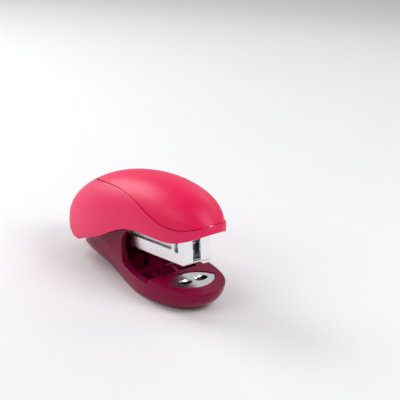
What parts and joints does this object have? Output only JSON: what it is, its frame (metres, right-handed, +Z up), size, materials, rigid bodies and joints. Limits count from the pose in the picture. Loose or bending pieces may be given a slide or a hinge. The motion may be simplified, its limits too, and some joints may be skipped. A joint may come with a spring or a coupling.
{
  "type": "stapler",
  "caption": "Mini desk stapler with a domed two-piece cover, steel magazine in an open mouth, boat-shaped base with oval anvil and a staple-remover tongue at the rear",
  "frame": {"origin": "on the table, half way along the whole length and on the plane of symmetry", "axes": "+X towards the nose, +Y the left side, +Z up; the hinge pin runs along Y"},
  "size_m": [0.0632, 0.0254, 0.0343],
  "materials": {
    "cap_pink": "soft-touch satin, pink red",
    "skirt_pink": "satin, pink red, a shade cooler than the cap",
    "base_burgundy": "semi-gloss burgundy",
    "anvil_chrome": "chrome-plated, bright",
    "magazine_steel": "bright nickel-plated sheet steel",
    "core_steel": "plain sheet steel",
    "staple_steel": "galvanised wire, glued strip",
    "pusher_steel": "zinc-plated steel",
    "frame_steel": "zinc-plated sheet steel",
    "pin_steel": "plated steel",
    "spring_steel": "spring steel",
    "rivet_steel": "plated steel",
    "screw_steel": "black-zinc steel"
  },
  "bodies": {
    "base": {"base_shell": "base_burgundy", "anvil_plate": "anvil_chrome", "pivot_pin": "pin_steel", "base_spring": "spring_steel", "base_spring_rivet": "rivet_steel"},
    "magazine": {"magazine_channel": "magazine_steel", "staple_core": "core_steel", "core_rivets": "rivet_steel", "staple_strip": "staple_steel", "pusher_rod": "pin_steel", "rod_clip": "spring_steel", "pusher_spring": "spring_steel"},
    "pusher": {"pusher": "pusher_steel"},
    "handle": {"handle_frame": "frame_steel", "driver_blade": "frame_steel", "blade_rivets": "rivet_steel", "handle_spring": "spring_steel", "handle_spring_rivet": "rivet_steel", "cover_cap": "cap_pink", "cover_skirt": "skirt_pink", "cover_screws": "screw_steel"}
  },
  "joints": [
    {"name": "magazine_hinge", "type": "hinge", "parent": "base", "child": "magazine", "pos_m": [-0.01651, 0, 0.01109], "axis": [0, 1, 0], "range_deg": [0, 7.8], "stiffness_Nm_per_rad": 0.25, "springref_deg": -6.88, "deforming": ["base_spring"]},
    {"name": "handle_hinge", "type": "hinge", "parent": "magazine", "child": "handle", "pos_m": [-0.01651, 0, 0.01109], "axis": [0, 1, 0], "range_deg": [-50, 9], "stiffness_Nm_per_rad": 0.15, "springref_deg": -0.69, "deforming": ["handle_spring"]},
    {"name": "pusher_slide", "type": "slide", "parent": "magazine", "child": "pusher", "axis": [0.9921, 0, 0.1253], "range_m": [-0.0024, 0], "stiffness_N_per_m": 60, "springref_m": 0.02, "deforming": ["pusher_spring"]}
  ]
}
